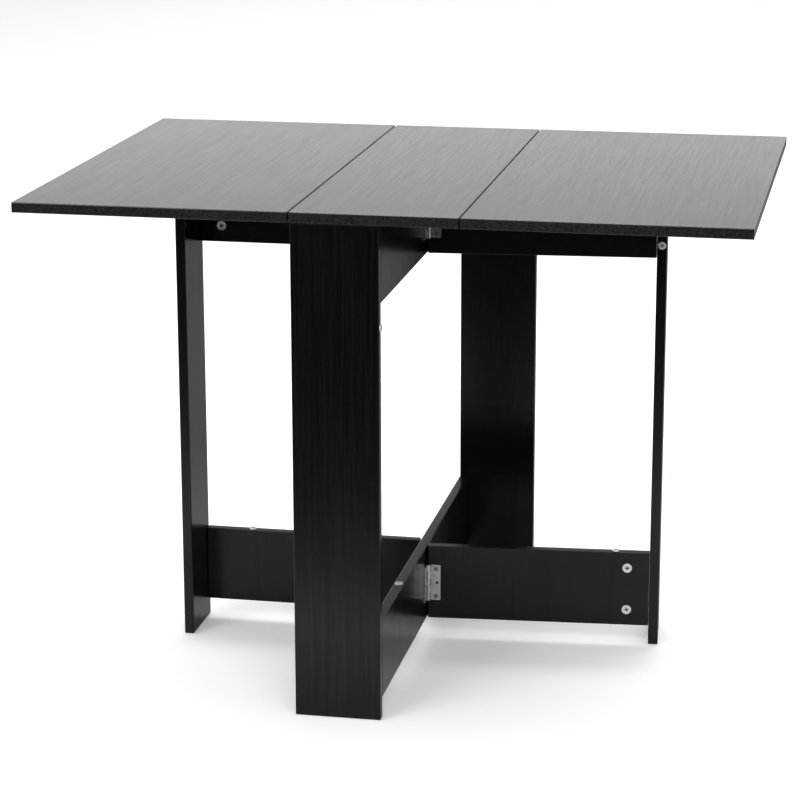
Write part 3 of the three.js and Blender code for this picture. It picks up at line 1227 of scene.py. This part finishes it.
@dataclass
class Workshop:
    """What every sub-assembly is made with."""

    boards: BoardMaker
    hinges: HingeSet
    lock: bpy.types.Object
    screw: bpy.types.Object
    cam: CamLock
    edge: EdgeScrew
    first_spin: float = 0.4
    spin_step: float = 1.1
    screw_spin: float = 0.7
    clear: float = 0.3 * MM
    shank_bore_sides: int = 24

    def locks_on(self, rail: str, place: Matrix, outward: Vector) -> list[Fastener]:
        """Find the cam locks of a rail.

        Args:
            rail: The rail's node.
            place: The frame that the rail is square in.
            outward: The way that its locks look, in that frame.

        Returns:
            Each lock and where it stands in that frame.
        """
        found = []
        names = sorted(n for n in frame["nodes"] if n.startswith(rail) and n.endswith("cam_lock"))
        for number, node in enumerate(names):
            low, high = box_in(node, place)
            point = (low + high) / 2 + outward * (self.cam.depth / 2)
            found.append(Fastener(node, point, outward, self.first_spin + self.spin_step * number))
        return found

    def edge_screw_on(self, board: str, place: Matrix, outward: Vector) -> list[Fastener]:
        """Find the edge screw of a board.

        Args:
            board: The board's node.
            place: The frame that the board is square in.
            outward: The way that the screw's head looks, in that frame.

        Returns:
            The screw and where it stands, or nothing.
        """
        node = f"{board}_edge_screw"
        if node not in frame["nodes"]:
            return []
        low, high = box_in(node, place)
        whole = self.edge.shank_length + self.edge.reach
        point = (low + high) / 2 + outward * (whole / 2 - self.edge.reach)
        return [Fastener(node, point, outward, self.screw_spin)]

    def bores_for(self, locks: list[Fastener], screws: list[Fastener]) -> list[Bore]:
        """Give the holes that a board's fasteners need.

        Args:
            locks: Its cam locks.
            screws: Its edge screws.

        Returns:
            The holes.
        """
        cam = self.cam.radius + self.clear, self.cam.depth + self.clear
        shank = self.edge.shank_radius + self.clear, self.edge.shank_length + self.clear
        housings = [Bore(lock.point, -lock.outward, *cam) for lock in locks]
        shanks = [
            Bore(screw.point, -screw.outward, *shank, sides=self.shank_bore_sides) for screw in screws
        ]
        return housings + shanks

    def fit(self, locks: list[Fastener], screws: list[Fastener], place: Matrix) -> None:
        """Fit a board's fasteners.

        Args:
            locks: Its cam locks.
            screws: Its edge screws.
            place: The frame that they are given in.
        """
        for pattern, fasteners in ((self.lock, locks), (self.screw, screws)):
            for fastener in fasteners:
                stands = place @ facing(fastener.point, fastener.outward, fastener.spin)
                Bench.hand_over(Bench.copy_to(pattern, stands), fastener.node, "cam_zinc")

    def board(self, node: str, foil: WoodGrainFoil, grain: Grain, slot: str, bores: list[Bore],
              place: Matrix | None = None, turn: float = 0.0) -> None:
        """Make the board that stands for a node.

        Args:
            node: The board's node.
            foil: What covers its broad faces.
            grain: The way that the grain runs.
            slot: The record's material slot.
            bores: The holes in it, in its square frame.
            place: The frame that it is square in, or None for the table's own.
            turn: How far that frame is turned out of square, in radians.
        """
        place = place or Matrix.Identity(4)
        low, high = box_in(node, place)
        made = self.boards.model(low, high, foil, grain, bores)
        self.boards.dress(made, foil, grain, turn)
        made.matrix_world = place
        Bench.take(made)
        Bench.settle()
        Bench.hand_over(made, node, slot)


@dataclass
class TableTop:
    """The fixed centre panel, the two drop leaves and the hinges under the seams."""

    shop: Workshop
    slot: str = "top_laminate"

    def _hinge_places(self, side: str, sign: float) -> dict[str, tuple[HingePlace, HingePlace]]:
        """Find the hinges of one seam.

        Args:
            side: The leaf's side.
            sign: The way along X that the leaf lies.

        Returns:
            Where the fixed and the moving leaf of the front and the rear hinge lie.
        """
        places = {}
        out = Vector((sign, 0.0, 0.0))
        for end in ("front", "rear"):
            low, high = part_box(f"{side}_{end}_leaf_hinge_pin")
            pin = (low + high) / 2
            places[end] = (HingePlace(pin, -out, UP), HingePlace(pin, out, UP))
        return places

    def build(self) -> None:
        """Make the panel, the leaves and their hinges."""
        hinges = self.shop.hinges
        seams = {side: self._hinge_places(side, sign) for side, sign in SIDES}
        centre_bores = [
            bore
            for seam in seams.values()
            for fixed, _ in seam.values()
            for bore in hinges.pilot_bores(fixed)
        ]
        self.shop.board("centre_panel", TOP_FOIL, Grain.ALONG_Y, self.slot, centre_bores)
        for side, seam in seams.items():
            bores = [bore for _, moving in seam.values() for bore in hinges.pilot_bores(moving)]
            self.shop.board(f"{side}_drop_leaf", TOP_FOIL, Grain.ALONG_Y, self.slot, bores)
            for end, (fixed, moving) in seam.items():
                label = f"{side}_{end}_leaf_hinge"
                hinges.fit_leaf(f"{label}_fixed_plate", Leaf.FIXED, fixed)
                hinges.fit_leaf(f"{label}_moving_plate", Leaf.MOVING, moving)
                hinges.fit_pin(f"{label}_pin", fixed)


@dataclass
class CentreFrame:
    """The two slabs and the two main rails that stand under the centre panel."""

    shop: Workshop
    slot: str = "frame_laminate"

    def _fixed_places(self, row: str) -> dict[str, HingePlace]:
        """Find the gate hinges on one main rail.

        Args:
            row: Which rail it is.

        Returns:
            Where the fixed leaf of each gate's hinge lies.
        """
        places = {}
        for side, sign in SIDES:
            low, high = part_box(f"{side}_gate_{row}_hinge_pin")
            reach, face = Vector((0.0, -sign, 0.0)), Vector((-sign, 0.0, 0.0))
            places[side] = HingePlace((low + high) / 2, reach, face)
        return places

    def build(self) -> None:
        """Make the slabs and the rails with their fasteners and the fixed halves of the gate hinges."""
        square = Matrix.Identity(4)
        for name, outward in (("front_slab", 1.0), ("rear_slab", -1.0)):
            screws = self.shop.edge_screw_on(name, square, Vector((outward, 0.0, 0.0)))
            bores = self.shop.bores_for([], screws)
            self.shop.board(name, FRAME_FOIL, Grain.ALONG_Z, self.slot, bores)
            self.shop.fit([], screws, square)
        for row in ("upper", "lower"):
            name = f"main_{row}_rail"
            locks = self.shop.locks_on(name, square, Vector((-1.0, 0.0, 0.0)))
            screws = self.shop.edge_screw_on(name, square, UP)
            places = self._fixed_places(row)
            bores = self.shop.bores_for(locks, screws)
            for place in places.values():
                bores += self.shop.hinges.pilot_bores(place)
            self.shop.board(name, FRAME_FOIL, Grain.ALONG_Z, self.slot, bores)
            self.shop.fit(locks, screws, square)
            for side, place in places.items():
                label = f"{side}_gate_{row}_hinge"
                self.shop.hinges.fit_leaf(f"{label}_fixed_plate", Leaf.FIXED, place)
                self.shop.hinges.fit_pin(f"{label}_pin", place)


@dataclass
class Gate:
    """One swinging gate: two rails, a broad leg and the moving halves of its hinges."""

    shop: Workshop
    side: str
    slot: str = "frame_laminate"
    folded_from_square: float = 90.0

    def __post_init__(self) -> None:
        """Find the gate's own frame from its joint."""
        name = f"{self.side}_gate_swing"
        joint = next(j for j in frame["record"]["behaviour"]["joints"] if j["name"] == name)
        self.turn = math.radians(joint["range_deg"][1] - self.folded_from_square)
        half_turn = math.pi if self.side == "left" else 0.0
        pin = Vector(joint["pos_m"])
        self.place = upright_turn(half_turn + self.turn, Vector((pin.x, pin.y, 0.0)))

    def build(self) -> None:
        """Make the rails, the leg and the hinge leaves."""
        front, back = Vector((0.0, -1.0, 0.0)), Vector((0.0, 1.0, 0.0))
        for row, outward, grain in (("upper", back, Grain.ALONG_X), ("lower", front, Grain.ALONG_Z)):
            name = f"{self.side}_gate_{row}_rail"
            locks = self.shop.locks_on(name, self.place, outward)
            screws = self.shop.edge_screw_on(name, self.place, UP)
            low, high = box_in(f"{self.side}_gate_{row}_hinge_pin", self.place)
            hinge = HingePlace(UP * ((low.z + high.z) / 2), Vector((1.0, 0.0, 0.0)), back)
            bores = self.shop.bores_for(locks, screws) + self.shop.hinges.pilot_bores(hinge)
            self.shop.board(name, FRAME_FOIL, grain, self.slot, bores, self.place, self.turn)
            self.shop.fit(locks, screws, self.place)
            turned = self.place.to_3x3()
            fitted = HingePlace(self.place @ hinge.pin, turned @ hinge.reach, turned @ hinge.face)
            self.shop.hinges.fit_leaf(f"{self.side}_gate_{row}_hinge_moving_plate", Leaf.MOVING, fitted)
        leg = f"{self.side}_gate_leg"
        screws = self.shop.edge_screw_on(leg, self.place, front)
        bores = self.shop.bores_for([], screws)
        self.shop.board(leg, FRAME_FOIL, Grain.ALONG_Z, self.slot, bores, self.place, self.turn)
        self.shop.fit([], screws, self.place)


# ------------------------------------------------------------------ studio


@dataclass(frozen=True)
class Softbox:
    """A square soft light: where it hangs, where it looks, its side, and its strength in watts."""

    name: str
    at: tuple[float, float, float]
    towards: tuple[float, float, float]
    size: float
    power: float

    def hang(self) -> None:
        """Hang the light."""
        bpy.ops.object.select_all(action="DESELECT")
        way = Vector(self.towards) - Vector(self.at)
        turn = way.to_track_quat("-Z", "Y").to_euler()
        bpy.ops.object.light_add(type="AREA", location=self.at, rotation=turn)
        lamp = bpy.context.object
        lamp.name = self.name
        lamp.data.size = self.size
        lamp.data.energy = self.power


TABLE_MIDDLE = (0.0, 0.0, 0.3)
SOFTBOXES = (
    Softbox("overhead_softbox", (0.0, 0.8, 4.0), TABLE_MIDDLE, 5.0, 190.0),
    Softbox("front_left_softbox", (-2.4, -3.6, 2.9), TABLE_MIDDLE, 2.4, 100.0),
    Softbox("front_right_softbox", (1.4, -3.9, 2.9), TABLE_MIDDLE, 2.4, 85.0),
    Softbox("backdrop_softbox", (0.0, 7.5, 9.0), (0.0, 7.5, 0.0), 6.0, 560.0),
)


@dataclass
class Studio:
    """The pale floor, the soft light and the camera."""

    aim: Vector = field(default_factory=lambda: Vector((-0.0381, 0.0, 0.3722)))
    azimuth: float = math.radians(11.2175)
    elevation: float = math.radians(15.0369)
    roll: float = -0.00207
    distance: float = 4.056
    lens: float = 119.24
    sensor_width: float = 36.0
    floor_size: float = 60.0
    floor_drop: float = 0.4 * MM
    floor_tone: Pair = (0.89, 0.90)
    floor_range: Pair = (0.3, 0.7)
    floor_mottle_per_metre: float = 1.5
    floor_octaves: Pair = (2.0, 0.5)
    floor_roughness: float = 0.9
    floor_glow: float = 0.22
    # How bright the floor is to the table's surfaces, at each place along Y.
    bounce_stops: tuple[Pair, ...] = (
        (-2.2, 0.01), (-1.5, 0.05), (-1.05, 0.30), (-0.75, 0.90),
        (-0.45, 0.70), (-0.1, 0.85), (0.15, 0.42), (0.9, 0.20),
    )
    bounce_tint: tuple[float, float, float] = (0.97, 0.98, 1.04)
    # The strengths of the surroundings, and the stretches of the direction that they change over.
    sky_front_to_back: Pair = (0.18, 1.0)
    sky_depth_range: Pair = (-0.9, 0.1)
    sky_horizon_to_zenith: Pair = (1.68, 0.26)
    sky_height_range: Pair = (0.135, 0.24)
    sky_colour: Colour = (0.985, 0.99, 1.02, 1.0)

    def floor(self) -> None:
        """Lay the floor."""
        bpy.ops.object.select_all(action="DESELECT")
        bpy.ops.mesh.primitive_plane_add(size=self.floor_size, location=-UP * self.floor_drop)
        ground = bpy.context.object
        Bench.settle()
        ground.name = "studio_floor"
        sheet = NodeSheet("pale_floor")
        mottle = sheet.noise(sheet.place(0.0, alike(self.floor_mottle_per_metre)), self.floor_octaves)
        pale = sheet.tint(mottle, [
            (position, (tone, tone, tone, 1.0)) for position, tone in zip(self.floor_range, self.floor_tone)
        ])
        own = sheet.add("ShaderNodeTexCoord").outputs["Object"]
        depth = sheet.add("ShaderNodeSeparateXYZ", {0: own}).outputs["Y"]
        reach = self.bounce_stops[0][0], self.bounce_stops[-1][0]
        span = reach[1] - reach[0]
        red, green, blue = self.bounce_tint
        bounce = sheet.tint(sheet.spread(depth, reach, (0.0, 1.0)), [
            ((y - reach[0]) / span, (tone * red, tone * green, tone * blue, 1.0))
            for y, tone in self.bounce_stops
        ])
        seen = sheet.add("ShaderNodeLightPath").outputs["Is Camera Ray"]
        mix = sheet.add("ShaderNodeMix", {"Factor": seen, 6: bounce, 7: pale}, data_type="RGBA")
        glow = sheet.add("ShaderNodeMath", {0: seen, 1: self.floor_glow}, operation="MULTIPLY")
        ground.data.materials.append(sheet.dress(
            Base_Color=mix.outputs[2], Roughness=self.floor_roughness,
            Emission_Strength=glow.outputs[0], Emission_Color=(1.0, 1.0, 1.0, 1.0),
        ))

    def sky(self) -> None:
        """Make the surroundings bright behind and overhead, and dim in front."""
        world = bpy.data.worlds.new("studio_surroundings")
        bpy.context.scene.world = world
        nodes = NodeTree(world)
        way = nodes.add("ShaderNodeTexCoord").outputs["Generated"]
        split = nodes.add("ShaderNodeSeparateXYZ", {0: way})
        depth = nodes.spread(split.outputs["Y"], self.sky_depth_range, self.sky_front_to_back, "SMOOTHSTEP")
        height = nodes.spread(split.outputs["Z"], self.sky_height_range, self.sky_horizon_to_zenith)
        both = nodes.add("ShaderNodeMath", {0: depth, 1: height}, operation="MULTIPLY").outputs[0]
        shade = nodes.add("ShaderNodeBackground", {"Color": self.sky_colour, "Strength": both})
        nodes.add("ShaderNodeOutputWorld", {"Surface": shade.outputs[0]})

    def camera(self) -> None:
        """Set the camera up at its viewing angle."""
        back = Vector((
            math.sin(self.azimuth) * math.cos(self.elevation),
            -math.cos(self.azimuth) * math.cos(self.elevation),
            math.sin(self.elevation),
        ))
        turn = (-back).to_track_quat("-Z", "Y").to_matrix().to_4x4()
        bpy.ops.object.select_all(action="DESELECT")
        bpy.ops.object.camera_add()
        camera = bpy.context.object
        camera.name = "studio_camera"
        camera.matrix_world = (
            Matrix.Translation(self.aim + back * self.distance) @ turn @ Matrix.Rotation(self.roll, 4, "Z")
        )
        camera.data.sensor_width = self.sensor_width
        camera.data.lens = self.lens
        bpy.context.scene.camera = camera

    def build(self) -> None:
        """Set up the whole studio."""
        self.floor()
        self.sky()
        for softbox in SOFTBOXES:
            softbox.hang()
        self.camera()
        bpy.context.scene.view_settings.view_transform = "Standard"
        bpy.context.scene.view_settings.look = "None"


def main() -> None:
    """Build the table and its studio."""
    logging.basicConfig(level=logging.INFO, format="%(name)s: %(message)s")
    cam, edge = CamLock(), EdgeScrew()
    shop = Workshop(BoardMaker(), HingeSet(), cam.model(), edge.model(), cam, edge)
    assemblies = [TableTop(shop), CentreFrame(shop), Gate(shop, "right"), Gate(shop, "left")]
    for assembly in assemblies:
        assembly.build()
        log.info("%s is built", type(assembly).__name__)
    shop.hinges.clear_away()
    Bench.discard(shop.lock, shop.screw)
    Studio().build()


if __name__ == "__main__":
    main()
